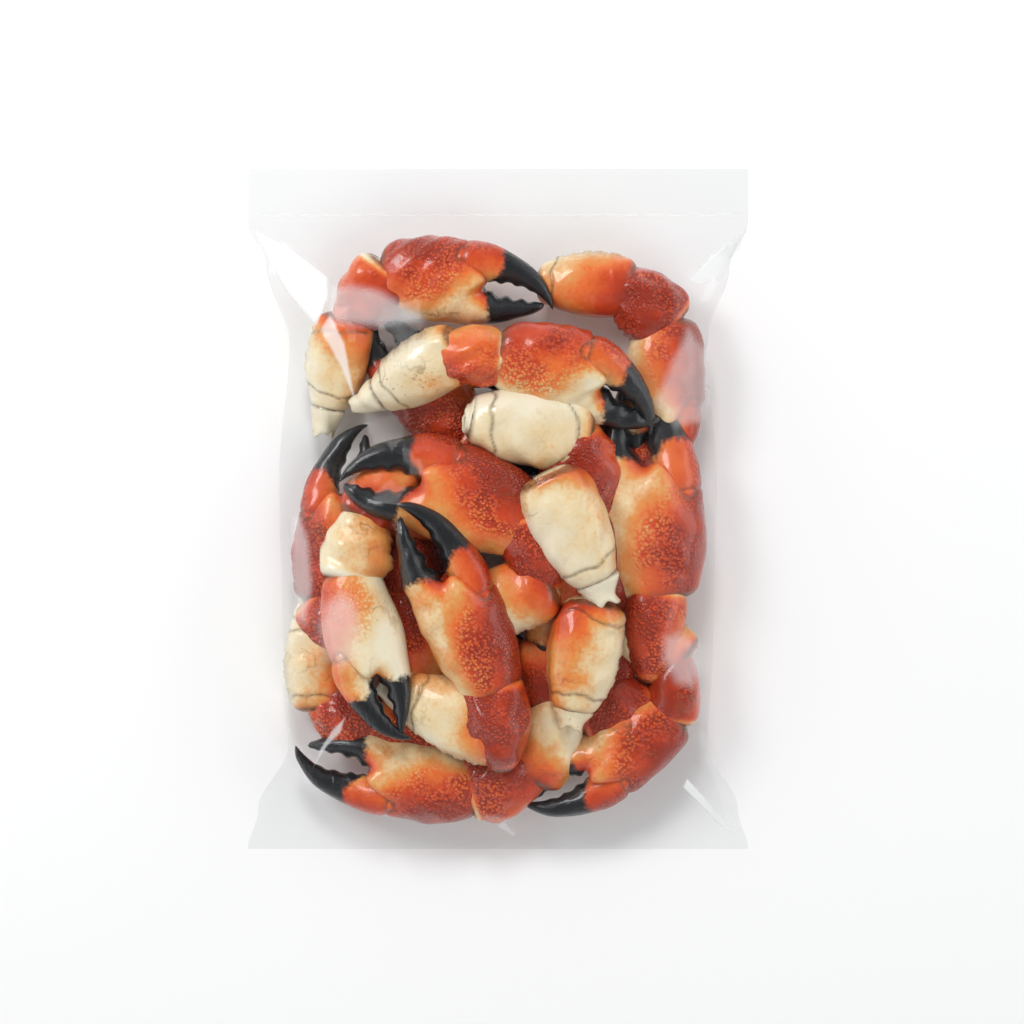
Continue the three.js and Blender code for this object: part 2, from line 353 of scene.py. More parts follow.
def hand_shell(chance, close):
    """The hand, with its fixed finger's tip moved close millimetres towards the moving finger."""
    p = shell(hand_sphere, HAND, chance, boxiness=0.92, dents=0.2)
    s, up, out = p["s"], p["up"], p["out"]
    teeth(p, 1, FIXED_TEETH)
    p["y"] += close * smoothstep(46, 80, s)

    cheek = smoothstep(0.35, 0.75, np.abs(out)) * smoothstep(30, 46, s) * (1 - smoothstep(47, 58, s))
    lobe = cheek * near(p["y"], LOBE_HEIGHT, LOBE_HALF**2)
    notch = cheek * near(p["y"], NOTCH_HEIGHT, NOTCH_HALF**2)
    p["x"] += LOBE_REACH * lobe - NOTCH_DEPTH * notch
    p["z"] += 0.9 * np.sign(out) * lobe

    from_knuckle = np.hypot(p["x"] - KNUCKLE[0], p["y"] - KNUCKLE[1])
    faces = smoothstep(0.15, 0.4, np.abs(out))
    knuckle = faces * smoothstep(KNUCKLE_RADIUS + 1.2, 0.6, from_knuckle)
    moat = faces * near(from_knuckle, KNUCKLE_RADIUS + 0.9, MOAT_HALF**2)
    p["z"] += np.sign(out) * (KNUCKLE_RISE * knuckle - MOAT_DEPTH * moat)

    pale = smoothstep(16, 54, s) * (1 - 0.6 * np.clip(up, 0, 1))
    ruddy = 0.62 + 0.42 * up + 0.16 * np.abs(out) - 0.36 * pale
    ruddy = np.maximum(ruddy - 0.24 * lobe - 0.15 * knuckle, 0.35 + 0.05 * up)
    black = (s - FIXED_BLACK_FROM) / BLACK_FADE + 0.9 * np.clip(up, 0, 1) ** 3
    wrist_seam = near(s, -0.5, 4)
    hinge_seam = near(s, 45.5, 1.5) * smoothstep(0.5, 0.8, up)
    seam = wrist_seam + 0.7 * hinge_seam + 0.75 * moat
    grain = smoothstep(0.45, 0.65, ruddy) * (1 - smoothstep(34, 46, s)) * smoothstep(0, 6, s)
    return with_tones(p, ruddy, black, seam, grain)


print("the hand is", round(HAND[-1][0] - HAND[0][0], 1), "mm long")

# %% [markdown]
# ## The moving finger
#
# The moving finger is a tapered, curved shell, longer than the fixed finger, and it hooks over that
# one's tip. It is modelled closed and in the hand's own place, so a single turn about the hinge
# opens it.

# %% Moving finger
MOVING_FINGER = [
    (37, 7, 13, 5), (40, 3, 19, 8.6), (44, 1.2, 21.2, 9.9), (50, 1.6, 21.3, 9.2),
    (56, 2.0, 20.1, 8), (62, 1.8, 17.9, 7), (69, 0.9, 14.6, 5.9), (76, -1.4, 10.4, 4.8),
    (82, -5.0, 5.0, 3.7), (86, -8.2, -0.8, 2.5), (88.2, -10.6, -5.6, 1.4), (88.8, -10.6, -8.6, 0.4),
]
MOVING_TEETH = [(55, 2.6, 1.2), (61, 2.8, 1.5), (69, 2.8, 1.2), (76, 2.4, 0.7)]
MOVING_BLACK_FROM = 63.0
FINGER_HINGE = (43.0, 11.0, 0.0)


def finger_shell(chance):
    p = shell(finger_sphere, MOVING_FINGER, chance, boxiness=0.95, dents=0.12)
    s, up = p["s"], p["up"]
    teeth(p, -1, MOVING_TEETH)
    ruddy = 0.62 + 0.26 * up + 0.08 * np.abs(p["out"])
    black = (s - MOVING_BLACK_FROM) / BLACK_FADE + 1.3 * np.clip(-up, 0, 1) ** 2
    seam = 1 - smoothstep(40, 44.5, s)
    grain = 0.7 * smoothstep(0.3, 0.8, up) * (1 - smoothstep(56, 64, s))
    return with_tones(p, ruddy, black, seam, grain)


print("the moving finger is", round(MOVING_FINGER[-1][0] - MOVING_FINGER[0][0], 1), "mm long")

# %% [markdown]
# ## The wrist
#
# The wrist is the short barrel between the hand and the arm, with a spiny upper margin and a pale
# lip at each end. Its section is boxier than the hand's, which gives it shoulders, and a sine along
# the high edge raises the blunt spines.

# %% Wrist
WRIST = [
    (-5, -5, 6, 5), (-4.4, -12.5, 13.5, 9), (-1, -15.8, 17, 11.4), (4, -17, 18.6, 12.8),
    (10, -17, 18.8, 13.6), (17, -15.8, 17.4, 13.4), (23, -13.4, 14.6, 12.4), (28, -10.6, 11.4, 10.8),
    (32, -7.8, 8, 8.6), (34.6, -4.6, 4.6, 5.4), (35.2, -1, 1, 1.6),
]
WRIST_LENGTH = 29.0
SPINE_HEIGHT = 1.1


def wrist_shell(chance):
    p = shell(wrist_sphere, WRIST, chance, boxiness=0.88, dents=0.4)
    s, up, out = p["s"], p["up"], p["out"]
    spines = np.clip(up, 0, 1) ** 4 * np.abs(np.sin(s * 0.7)) * smoothstep(0, 6, s)
    p["y"] += SPINE_HEIGHT * spines
    ruddy = 0.78 + 0.12 * np.abs(out) + 0.16 * up
    lip = near(s, -3, 3) + 0.8 * near(s, 32, 4)
    seam = near(s, -5.2, 1.5) + near(s, 34.5, 2)
    grain = smoothstep(0.4, 0.8, ruddy) * np.clip(1 - lip, 0, 1)
    return with_tones(p, ruddy - 0.42 * lip, seam=seam, grain=grain)


print("the wrist is", round(WRIST[-1][0] - WRIST[0][0], 1), "mm long")

# %% [markdown]
# ## The arm
#
# The arm is the pale segment behind the wrist. Its near end is knobbed and redder, and its low edge
# carries a crest of small bumps. One groove runs round it near the far end, and about half of the
# arms have a forked one near the wrist too. Straight grooves would look drawn on, so three sines make
# them wander, and each arm draws its own start for them.

# %% Arm
ARM = [
    (-5, -4, 4, 4), (-4.4, -10.4, 9.8, 8.4), (-2, -13.6, 13, 10.6), (4, -15.6, 15, 11.8),
    (13, -16.6, 15.8, 12.6), (24, -16.2, 15.2, 12.4), (33, -14.2, 13.2, 11.6), (39, -11.8, 11, 10.4),
    (43, -10, 9.4, 9), (45, -7.4, 7, 7), (45.4, -1, 1, 1),
]
FAR_GROOVE = 36.4
GROOVE_DEPTH = 0.7


def wandering(around, shift):
    """How far a groove strays along the arm, by the angle round it."""
    return (
        1.6 * np.sin(around + shift)
        + 0.9 * np.sin(3 * around + 2 * shift)
        + 0.5 * np.sin(7 * around)
    )


def arm_shell(chance):
    p = shell(arm_sphere, ARM, chance, boxiness=0.8, dents=0.2)
    s, up, out = p["s"], p["up"], p["out"]
    around = np.arctan2(out, up)
    shift = chance.uniform(0, 6)
    crest = np.clip(-up, 0, 1) ** 10 * smoothstep(0, 6, s) * (1 - smoothstep(34, 40, s))
    p["y"] -= crest * (0.4 + 0.25 * np.sin(s * 2.3 + shift) + 0.35 * np.sin(s * 0.9 + 2 * shift))
    knobs = near(s, 3, 4**2) * np.cos(3 * around + shift)
    p["z"] += 1.5 * knobs * out
    p["x"] += 2.2 * knobs

    ruddy = 0.12 + 0.16 * up + 0.08 * np.abs(out) + 0.4 * np.exp(-np.clip(s + 3, 0, 99) / 6)
    ruddy += 0.26 * smoothstep(-0.2, 0.7, np.cos(around - shift)) * (1 - smoothstep(6, 26, s))
    wander = wandering(around, shift)
    far_groove = near(s - wander, FAR_GROOVE, 0.5)
    fork = chance.uniform(2, 5) + chance.uniform(2, 7) * np.abs(up - chance.uniform(-0.3, 0.3))
    near_groove = near(s + wander, fork, 0.4) * smoothstep(0.3, 0.6, np.abs(out))
    near_groove *= chance.random() < 0.5
    groove = np.maximum(far_groove, near_groove)
    p["z"] -= GROOVE_DEPTH * groove * np.sign(out)
    seam = near(s, -3.6, 2.5) + near(s, 45, 1.2) + 0.5 * crest + 0.8 * groove
    return with_tones(p, ruddy, seam=seam, grain=0.5 * crest)


print("the arm is", round(ARM[-1][0] - ARM[0][0], 1), "mm long")

# %% [markdown]
# ## The broken end and the membrane
#
# Where an arm was pulled off the crab, a pale stub of its next joint is often left: a hollow with an
# uneven rim. Its table turns back into itself past the rim, so the hollow needs no wall of its own.
# Behind the hand and the wrist sits a soft membrane, which stops us from seeing into the joint. It
# is a plain shell that fills the gap.

# %% Broken end and membrane
STUB = [
    (42, -1, 1, 1), (43, -8.4, 8, 7.4), (45.5, -9.6, 9, 8.2), (50, -8.4, 7.4, 7.4),
    (55, -6.4, 5.4, 6), (58.6, -5.8, 5, 5.2), (58.8, -5.2, 4.4, 4.6), (57.6, -4.6, 4, 4),
    (53, -3.4, 3, 3), (51, -0.3, 0.3, 0.3),
]
STUB_START = STUB[0][0]
RIM_TEAR = 1.6
MEMBRANE = [(-6, -1, 1, 1), (-5, -7.5, 8, 6.5), (-1, -11, 12, 9), (3, -7.5, 8, 7), (4, -1, 1, 1)]


def stub_shell(chance):
    p = shell(stub_sphere, STUB, chance, dents=0.3)
    rim = smoothstep(54, 58, p["x"])
    around = np.arctan2(p["out"], p["up"])
    first, second = chance.uniform(0, 6, 2)
    tear = np.sin(2 * around + first) + 0.5 * np.sin(5 * around + second)
    p["x"] += RIM_TEAR * rim * tear
    seam = near(p["s"], 44, 2) + 0.2 * rim
    return with_tones(p, 0.04 + 0.06 * p["up"], seam=seam, grain=0.1)


def membrane_shell(chance):
    return with_tones(shell(membrane_sphere, MEMBRANE, chance), ruddy=0.22, seam=0.45)


print("the broken end starts", STUB_START, "mm along the arm")

# %% [markdown]
# ## Posing a claw
#
# Each claw could be rigged with bones, but nothing in the bag moves, so matrices do. A claw is
# placed by its wrist. Everything behind the wrist folds back towards the fixed finger, as a crab
# carries its claw, so two angles, a fold and a lift, pose the wrist, and two more pose the arm.

# %% Pose the shells of a claw
END_LENGTH = 0.8


def turned(axis, degrees):
    return Matrix.Rotation(math.radians(degrees), 4, axis)


def placed(item):
    heading, pitch, roll = item["turn"]
    turn = turned("Z", heading) @ turned("Y", -pitch) @ turned("X", roll)
    grow = Matrix.Diagonal((item["size"], item["size"] * item["side"], item["size"], 1))
    return Matrix.Translation(item["place"]) @ turn @ grow


def folded_back(start, fold, lift):
    return Matrix.Translation(start) @ turned("Z", 180 + fold) @ turned("Y", -lift)


def arm_parts(elbow, item, chance):
    """An arm behind an elbow, with its broken end piece where it still has one."""
    ruddy = item.get("arm_ruddy", item.get("ruddy", 0))
    parts = [(membrane_shell(chance), elbow, ruddy), (arm_shell(chance), elbow, ruddy)]
    end = item.get("end", END_LENGTH)
    if end:
        shorten = Matrix.Translation((STUB_START, 0, 0)) @ Matrix.Diagonal((end, 1, 1, 1))
        shorten = shorten @ Matrix.Translation((-STUB_START, 0, 0))
        parts.append((stub_shell(chance), elbow @ shorten, ruddy))
    return parts


def claw_parts(item, chance):
    """Each shell of a claw, the matrix that poses it in the hand's own space, and how ruddy it is."""
    ruddy = item["ruddy"]
    wrist_ruddy = item.get("wrist_ruddy", ruddy)
    widen = Matrix.Diagonal((1, item.get("plump", 1), 1, 1))
    hinge = Vector(FINGER_HINGE)
    opened = widen @ Matrix.Translation(hinge) @ turned("Z", item["gape"]) @ Matrix.Translation(-hinge)
    wrist = folded_back((0, 0, 0), *item["fold"][0])
    wrist_width = wrist @ Matrix.Diagonal((1, item.get("wrist_plump", 1), 1, 1))
    parts = [
        (hand_shell(chance, item.get("close", 0)), widen, ruddy),
        (finger_shell(chance), opened, ruddy),
        (membrane_shell(chance), wrist, ruddy),
        (wrist_shell(chance), wrist_width, wrist_ruddy),
    ]
    if len(item["fold"]) > 1:
        elbow = wrist @ Vector((item.get("reach", WRIST_LENGTH), 0, 0))
        parts += arm_parts(folded_back(elbow, *item["fold"][1]), item, chance)
    return parts


print("an arm's broken end keeps", END_LENGTH, "of its length unless its row says otherwise")

# %% [markdown]
# ## Where the claws lie
#
# The claws are set down one by one to match the photograph, lowest first. A physics drop would
# heap them too, but not into this heap. The six deep ones hardly show, and are there because the
# upper ones have to lie on something.

# %% Where the claws lie
# place: the wrist, in millimetres. turn: heading, pitch and roll in degrees. side: 1 has the moving
# finger on the left of the heading, -1 on the right. gape: degrees that the finger opens. fold:
# how far the wrist and then the arm fold back, each with its lift, in degrees. plump and
# wrist_plump widen the hand and the wrist, close moves the fixed finger's tip in millimetres,
# reach is how far along the wrist the arm starts, end is the share of the arm's broken end that
# is left (0 for none), and the ruddy values make a part redder or paler.
CLAWS = [
    dict(name="deep_upper", place=(-12, 31, 14), turn=(132, 0, 0), side=1, size=0.84, gape=0,
         fold=((20, 0),), ruddy=0.05),
    dict(name="deep_middle", place=(50, 31, 13.5), turn=(157, 0, 0), side=-1, size=0.82, gape=0,
         fold=((20, 0),), ruddy=0.0),
    dict(name="deep_centre", place=(69, 2, 20), turn=(171, 0, 0), side=1, size=0.78, gape=0,
         fold=((70, 0),), ruddy=0.05),
    dict(name="deep_left", place=(-41, -36, 15), turn=(-82, 0, 0), side=-1, size=0.86, gape=0,
         fold=((10, 0), (20, 0)), ruddy=0.1),
    dict(name="deep_front", place=(42, -96, 17), turn=(128, 0, 0), side=1, size=0.9, gape=0,
         fold=((80, 0),), ruddy=0.12),
    dict(name="deep_right", place=(46, -58, 14), turn=(80, 0, 0), side=1, size=0.84, gape=0,
         fold=((20, 0),), ruddy=0.15),
    dict(name="low_left", place=(-59, -100, 13), turn=(4, 0, 0), side=-1, size=0.86, gape=0,
         fold=((40, 2), (88, 2)), ruddy=0.0),
    dict(name="foot_left", place=(-9, -125, 17), turn=(170, 0, -6), side=1, size=0.92, plump=0.95,
         gape=6, fold=((25, 0), (80, -4)), ruddy=-0.04, end=0),
    dict(name="foot_right", place=(78, -91, 20), turn=(216, -1, 0), side=1, size=0.87, plump=0.95,
         gape=1, fold=((47, 2), (114, -7)), wrist_plump=0.75, ruddy=0.0),
    dict(name="left", place=(-78, -41, 18), turn=(80, 0, -8), side=1, size=0.9, plump=0.9, gape=3,
         fold=((50, 0),), ruddy=0.0),
    dict(name="top_left", place=(-51, 104, 23), turn=(-6, 5, 8), side=1, size=0.86, plump=1.04, gape=2,
         fold=((58, 0), (84, 0)), reach=32, ruddy=-0.08, arm_ruddy=-0.04, end=1.0),
    dict(name="top_right", place=(75, 84, 21), turn=(-94, -3, -4), side=1, size=0.88, gape=0,
         fold=((54, 0), (92, -9)), reach=26, ruddy=-0.03, wrist_ruddy=0.16, arm_ruddy=0.26, end=0),
    dict(name="under_middle", place=(39, 2, 24), turn=(-95, -4, 0), side=1, size=1.1, gape=0,
         fold=((10, 10), (87, 6)), ruddy=0.1, arm_ruddy=-0.1, end=0.3),
    dict(name="right", place=(71, -39, 24), turn=(95, 0, 6), side=-1, size=1.1, gape=2,
         fold=((10, -7),), wrist_plump=0.7, ruddy=-0.05),
    dict(name="front_left", place=(-65, -28, 36), turn=(-77, 3, 180), side=1, size=0.88, plump=0.94,
         gape=-2, fold=((26, 4), (52, 8)), ruddy=-0.36, wrist_ruddy=-0.6, arm_ruddy=0.3, end=0),
    dict(name="centre", place=(13, -7, 36), turn=(157, 2, 5), side=-1, size=0.96, plump=1.12, gape=-4,
         close=-7, fold=((50, -6), (138, -12)), wrist_plump=0.8, ruddy=0.06),
    dict(name="upper_middle", place=(0, 67, 40), turn=(-13, -3, 20), side=1, size=0.9, plump=1.06,
         gape=-14, close=-5, fold=((10, -6), (46, -8)), reach=21, wrist_plump=0.8, ruddy=-0.16,
         wrist_ruddy=-0.22, arm_ruddy=-0.1, end=1.0),
    dict(name="front", place=(-1.5, -80, 38), turn=(114, 7, 4), side=-1, size=1.03, plump=0.88, gape=5,
         fold=((16, -4), (137, -16)), reach=19, wrist_plump=0.85, ruddy=0.02, wrist_ruddy=0.2),
]
LOOSE_ARMS = [
    dict(name="pale", place=(24, 11, 45), turn=(-65, -4, 16), side=1, size=1.06, arm_ruddy=-0.1,
         end=0.8),
    dict(name="ragged", place=(41, -45, 36), turn=(-101, 0, -10), side=-1, size=1.0, arm_ruddy=0.06,
         end=0.65),
]
print(len(CLAWS), "claws and", len(LOOSE_ARMS), "loose arms to place")

# %% Build the claws
# Each piece has a number of its own. It starts the piece's random draws and moves its pattern to a
# stretch of the noises that no other piece shows.
FIRST_LOOSE_ARM = 50
PATTERN_SHIFT = 0.37


def store(mesh, name, kind, field, rows):
    """Keeps one value per vertex as an attribute of the mesh."""
    layer = mesh.attributes.new(name, kind, "POINT")
    layer.data.foreach_set(field, np.concatenate(rows).astype(np.float32).ravel())


def build_piece(name, item, parts, number):
    """Joins posed shells into one object, with its tones and its own pattern space."""
    pose = placed(item)
    bm = bmesh.new()
    tones, places = [], []
    for p, local, ruddy in parts:
        points = np.stack([p["x"], p["y"], p["z"], np.ones_like(p["x"])])
        in_hand = np.array(local) @ points
        in_bag = (np.array(pose) @ in_hand)[:3].T * MM
        part = p["mesh"].copy()
        part.vertices.foreach_set("co", in_bag.astype(np.float32).ravel())
        bm.from_mesh(part)
        bpy.data.meshes.remove(part)
        shade = p["tones"].copy()
        shade[:, 0] = np.clip(shade[:, 0] + ruddy, 0, 1)
        shade[:, 3] *= np.clip(1 + 2 * ruddy, 0, 1)
        tones.append(shade)
        places.append(in_hand[:3].T * MM * item["size"] + number * PATTERN_SHIFT)
    bmesh.ops.recalc_face_normals(bm, faces=bm.faces)
    mesh = bpy.data.meshes.new(name)
    bm.to_mesh(mesh)
    bm.free()
    store(mesh, "tones", "FLOAT_COLOR", "color", tones)
    store(mesh, "place", "FLOAT_VECTOR", "vector", places)
    mesh.polygons.foreach_set("use_smooth", [True] * len(mesh.polygons))
    piece = bpy.data.objects.new(name, mesh)
    bpy.context.scene.collection.objects.link(piece)
    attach(piece, "root")
    return piece


claws = []
for number, item in enumerate(CLAWS):
    chance = np.random.default_rng(number)
    claws.append(build_piece("claw_" + item["name"], item, claw_parts(item, chance), number))
for number, item in enumerate(LOOSE_ARMS, FIRST_LOOSE_ARM):
    chance = np.random.default_rng(number)
    parts = arm_parts(Matrix.Identity(4), item, chance)
    claws.append(build_piece("arm_" + item["name"], item, parts, number))
print(len(claws), "claws and arms,", sum(len(c.data.polygons) for c in claws), "faces")

# %% [markdown]
# ## The shell's material
#
# Cooked shell runs from pale cream through orange to a deep brick red, and the finger tips are
# black. One colour ramp does that when it is fed the ruddy tone, broken up by noise so that the
# colours meet raggedly. Grainy parts carry small round bumps, redder between them and paler on
# top: partly the granules' own pale tips and partly a painted highlight for the glints on them.
# Fine cracks and brown specks lie over the colour, and grime darkens the seams. A clear coat over
# it all is the wet gloss.

# %% Node helpers


def node(tree, kind, **inputs):
    """A new node, with its inputs named as keywords."""
    made = tree.nodes.new(kind)
    for key, value in inputs.items():
        made.inputs[key.replace("_", " ")].default_value = value
    return made


def read_attribute(tree, name):
    """The outputs that read one of the mesh's own attributes."""
    made = tree.nodes.new("ShaderNodeAttribute")
    made.attribute_name = name
    return made.outputs


def math_node(tree, operation, a, b=None, c=None, clamp=False):
    made = tree.nodes.new("ShaderNodeMath")
    made.operation = operation
    made.use_clamp = clamp
    for i, value in enumerate((a, b, c)):
        if value is None:
            continue
        if isinstance(value, (int, float)):
            made.inputs[i].default_value = value
        else:
            tree.links.new(value, made.inputs[i])
    return made.outputs[0]


def added(tree, base, value, share):
    """The base plus a share of a value."""
    return math_node(tree, "MULTIPLY_ADD", value, share, base)


def masked(tree, value, steepness, offset):
    """A value made steeper and shifted, then kept between 0 and 1."""
    return math_node(tree, "MULTIPLY_ADD", value, steepness, offset, clamp=True)


def about_zero(tree, value):
    return math_node(tree, "SUBTRACT", value, 0.5)


def noise(tree, vector, scale, detail=3.0, roughness=0.55):
    made = node(tree, "ShaderNodeTexNoise", Scale=scale, Detail=detail, Roughness=roughness)
    tree.links.new(vector, made.inputs["Vector"])
    return made.outputs["Fac"]


def mix_colours(tree, factor, a, b):
    """A Mix node set to colours, whose two colours are its sockets 6 and 7 and the result its third."""
    made = tree.nodes.new("ShaderNodeMix")
    made.data_type = "RGBA"
    for socket, value in ((made.inputs[0], factor), (made.inputs[6], a), (made.inputs[7], b)):
        if isinstance(value, (int, float, tuple)):
            socket.default_value = value
        else:
            tree.links.new(value, socket)
    return made.outputs[2]


# %% Colours of the shell


def linear(channel):
    channel /= 255
    return channel / 12.92 if channel <= 0.04045 else ((channel + 0.055) / 1.055) ** 2.4


def srgb(red, green, blue):
    return (linear(red), linear(green), linear(blue), 1.0)


SHELL_COLOURS = [
    (0.00, srgb(235, 225, 198)),
    (0.22, srgb(231, 205, 158)),
    (0.38, srgb(224, 150, 80)),
    (0.54, srgb(226, 108, 46)),
    (0.76, srgb(200, 66, 26)),
    (1.00, srgb(150, 42, 18)),
]
SPECK = srgb(120, 82, 46)
CRACK = srgb(122, 74, 36)
GRIME = srgb(88, 62, 34)
BLACK_SHELL = srgb(26, 27, 30)
print(len(SHELL_COLOURS), "colours from cream to brick red")

# %% Patterns of the shell
# How often each pattern repeats in a metre of shell.
CLOUDS = 34
BLOTCHES = 80
FINE = 520
GRANULES = 680
GRAINY_PATCHES = 50
SPECKS = 640
CRACKS = 46
TIP_RIDGES = 420
# The ridges of a black finger tip are drawn out along it.
TIP_STRETCH = (0.12, 1.0, 1.0)
# Each mask is a pattern times its first number plus its second, kept between 0 and 1.
DOME_MASK = (-2.8, 1.9)
GRAINY_MASK = (6.0, -2.3)
CRACK_LINES = (-46.0, 1.0)
CRACKED_PARTS = (6.0, -3.2)
BLACK_MASK = (2.6, 0.5)


def shell_patterns(tree):
    """The tones, noises and masks that the shell's colour, roughness and bumps share."""
    place = read_attribute(tree, "place")["Vector"]
    tones = read_attribute(tree, "tones")
    split = tree.nodes.new("ShaderNodeSeparateColor")
    tree.links.new(tones["Color"], split.inputs[0])
    ruddy, black, seam = split.outputs
    clouds = noise(tree, place, CLOUDS, 2)
    blotches = noise(tree, place, BLOTCHES, 4)
    fine = noise(tree, place, FINE, 4, 0.65)

    cells = node(tree, "ShaderNodeTexVoronoi", Scale=GRANULES, Randomness=1.0)
    tree.links.new(place, cells.inputs["Vector"])
    domes = masked(tree, cells.outputs["Distance"], *DOME_MASK)
    patches = masked(tree, noise(tree, place, GRAINY_PATCHES, 2), *GRAINY_MASK)
    grainy = math_node(tree, "MULTIPLY", tones["Alpha"], patches)

    bands = math_node(tree, "ABSOLUTE", about_zero(tree, noise(tree, place, CRACKS, 3)))
    lines = masked(tree, bands, *CRACK_LINES)
    edge = added(tree, black, about_zero(tree, fine), 0.9)
    edge = added(tree, edge, about_zero(tree, blotches), 1.0)
    return {
        "place": place,
        "ruddy": ruddy,
        "seam": seam,
        "clouds": clouds,
        "blotches": blotches,
        "fine": fine,
        "grainy": grainy,
        "granules": math_node(tree, "MULTIPLY", domes, grainy),
        "cracks": math_node(tree, "MULTIPLY", lines, masked(tree, clouds, *CRACKED_PARTS)),
        "blackness": masked(tree, edge, *BLACK_MASK),
    }


# %% Colour of the shell
# How far each pattern moves the ruddy tone, and how strongly the specks and cracks show.
CLOUD_SHARE = 0.42
BLOTCH_SHARE = 0.42
FINE_SHARE = 0.28
# Granule tops are made paler, partly their own pale tips and partly a painted highlight.
GRANULE_TIP_AND_GLINT_SHARE = -0.4
GRAINY_SHARE = 0.26
SPECK_MASK = (14.0, -9.9)
SPECK_SHARE = 0.55
CRACK_SHARE = 0.5


def colour_ramp(tree, value, stops):
    ramp = tree.nodes.new("ShaderNodeValToRGB")
    ramp.color_ramp.elements.remove(ramp.color_ramp.elements[1])
    for i, (at, colour) in enumerate(stops):
        stop = ramp.color_ramp.elements[0] if i == 0 else ramp.color_ramp.elements.new(at)
        stop.position = at
        stop.color = colour
    tree.links.new(value, ramp.inputs[0])
    return ramp.outputs[0]


def shell_colour(tree, look):
    """The ramp's colour, then specks, cracks, grime and the black of the finger tips over it."""
    tone = added(tree, look["ruddy"], about_zero(tree, look["clouds"]), CLOUD_SHARE)
    tone = added(tree, tone, about_zero(tree, look["blotches"]), BLOTCH_SHARE)
    tone = added(tree, tone, about_zero(tree, look["fine"]), FINE_SHARE)
    # Paler granule tops: their own pale tips, and a painted highlight for the glints on them.
    tone = added(tree, tone, look["granules"], GRANULE_TIP_AND_GLINT_SHARE)
    tone = added(tree, tone, look["grainy"], GRAINY_SHARE)
    colour = colour_ramp(tree, tone, SHELL_COLOURS)

    scattered = noise(tree, look["place"], SPECKS, 3)
    scattered = added(tree, scattered, about_zero(tree, look["clouds"]), 0.5)
    specks = masked(tree, scattered, *SPECK_MASK)
    specks = math_node(tree, "MULTIPLY", specks, SPECK_SHARE)
    colour = mix_colours(tree, specks, colour, SPECK)
    cracks = math_node(tree, "MULTIPLY", look["cracks"], CRACK_SHARE)
    colour = mix_colours(tree, cracks, colour, CRACK)
    uneven = math_node(tree, "MULTIPLY_ADD", look["fine"], 1.7, -0.05)
    grimy = math_node(tree, "MULTIPLY", look["seam"], uneven, clamp=True)
    colour = mix_colours(tree, grimy, colour, GRIME)
    return mix_colours(tree, look["blackness"], colour, BLACK_SHELL)


# %% Shell material
# How rough the shell is where the fine noise is lowest, and how much rougher where it is highest.
ROUGH_FROM, ROUGH_MORE = 0.16, 0.3
WET_COAT = 0.5
COAT_ROUGHNESS = 0.07
BUMP_HEIGHT = 0.0006
# How high each pattern stands, as a share of that height.
FINE_RISE = 0.3
BLOTCH_RISE = 1.2
CRACK_RISE = -0.3


def shell_height(tree, look):
    """Granules, fine grain, soft blotches and cracks, and ridges along the black finger tips."""
    stretch = node(tree, "ShaderNodeMapping", Scale=TIP_STRETCH)
    tree.links.new(look["place"], stretch.inputs["Vector"])
    ridges = noise(tree, stretch.outputs[0], TIP_RIDGES, 3)
    ridges = math_node(tree, "MULTIPLY", ridges, look["blackness"])
    height = math_node(tree, "MULTIPLY", look["fine"], FINE_RISE)
    height = math_node(tree, "ADD", look["granules"], height)
    height = math_node(tree, "ADD", height, ridges)
    height = added(tree, height, look["blotches"], BLOTCH_RISE)
    return added(tree, height, look["cracks"], CRACK_RISE)


def shell_material():
    material = bpy.data.materials.new("crab_shell")
    material.use_nodes = True
    tree = material.node_tree
    shader = tree.nodes["Principled BSDF"]
    look = shell_patterns(tree)
    tree.links.new(shell_colour(tree, look), shader.inputs["Base Color"])
    rough = math_node(tree, "MULTIPLY_ADD", look["fine"], ROUGH_MORE, ROUGH_FROM)
    tree.links.new(rough, shader.inputs["Roughness"])
    bump = node(tree, "ShaderNodeBump", Strength=1.0, Distance=BUMP_HEIGHT)
    tree.links.new(shell_height(tree, look), bump.inputs["Height"])
    tree.links.new(bump.outputs[0], shader.inputs["Normal"])
    shader.inputs["Coat Weight"].default_value = WET_COAT
    shader.inputs["Coat Roughness"].default_value = COAT_ROUGHNESS
    return material


shell_look = shell_material()
for claw in claws:
    claw.data.materials.append(shell_look)
print("shell material on", len(claws), "pieces")

# %% [markdown]
# ## The film
#
# The film is one closed skin: a sheet over the heap, a sheet under it, and a fold or a seal all
# round where they meet. A cloth simulation could drop it, but the same few rules give the shape of
# a taut film directly: every point is pulled to the middle of its neighbours and pushed up
# wherever a claw is in the way. The sharp creases that run in from the corners and the foot are
# pushed up too, as straight lines, and the film hangs between them and the claws.

# %% Outline and creases of the bag
# How far along the bag, from 0 at the foot to 1 at the header, and half its width there in
# millimetres.
HALF_WIDTHS = [
    (0, 112.5), (0.06, 107.5), (0.153, 94), (0.3, 96.5), (0.55, 98), (0.741, 93.5), (0.86, 104),
    (0.92, 112.5), (1, 112.5),
]
# Each crease runs straight from one point to another, in millimetres.
CREASES = [
    ((-78, 84, 31), (-61, 41, 33)),
    ((112, 128, 3), (84, 102, 27)),
    ((112, 128, 3), (94, 74, 24)),
    ((84, 102, 27), (94, 74, 24)),
    ((109, -150, 1), (90, -130, 14)),
    ((110, -150, 1), (101, -108, 9)),
    ((-108, -150, 1), (-84, -118, 17)),
    ((-70, -151, 1), (-58, -136, 14)),
    ((-30, -151, 1), (-2, -141, 12)),
    ((10, -141, 10), (48, -151, 1)),
    ((60, -151, 1), (84, -136, 11)),
]
CREASE_REACH = 1.1


def eased(stops, at):
    """The value at a place between stops, eased in and out of each."""
    places, values = np.array(stops, float).T
    i = np.clip(np.searchsorted(places, at, side="right") - 1, 0, len(places) - 2)
    share = smoothstep(places[i], places[i + 1], at)
    return values[i] + (values[i + 1] - values[i]) * share


